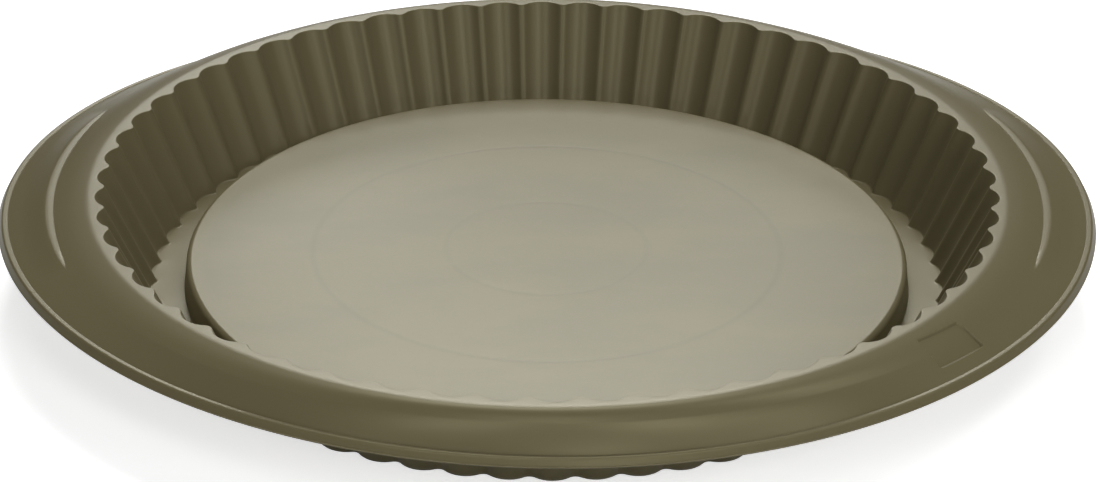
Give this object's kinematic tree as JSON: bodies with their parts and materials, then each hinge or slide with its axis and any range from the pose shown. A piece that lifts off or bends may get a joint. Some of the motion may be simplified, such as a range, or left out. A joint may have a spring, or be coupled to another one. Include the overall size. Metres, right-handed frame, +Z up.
{
  "type": "flan mould",
  "caption": "Round fluted flan mould moulded in flexible silicone: raised flat centre in a channel, sloping scalloped wall, flat top ring, and a drooping brim with two handles and an edge bead.",
  "frame": {"origin": "on the mould's axis, at the level of the flat underside it stands on", "axes": "+Z up out of the mouth, +X through the right handle, +Y towards the back"},
  "size_m": [0.3416, 0.3072, 0.0353],
  "materials": {
    "silicone": "satin, olive-taupe, smooth moulded surface"
  },
  "bodies": {
    "root": {"raised_centre": "silicone", "raised_centre_wall": "silicone", "channel_floor": "silicone", "fluted_wall": "silicone", "top_ring": "silicone", "front_brim": "silicone", "rear_brim": "silicone", "left_handle": "silicone", "right_handle": "silicone", "front_edge_bead": "silicone", "rear_edge_bead": "silicone", "left_edge_bead": "silicone", "right_edge_bead": "silicone", "left_grip_rib": "silicone", "right_grip_rib": "silicone"}
  },
  "joints": []
}
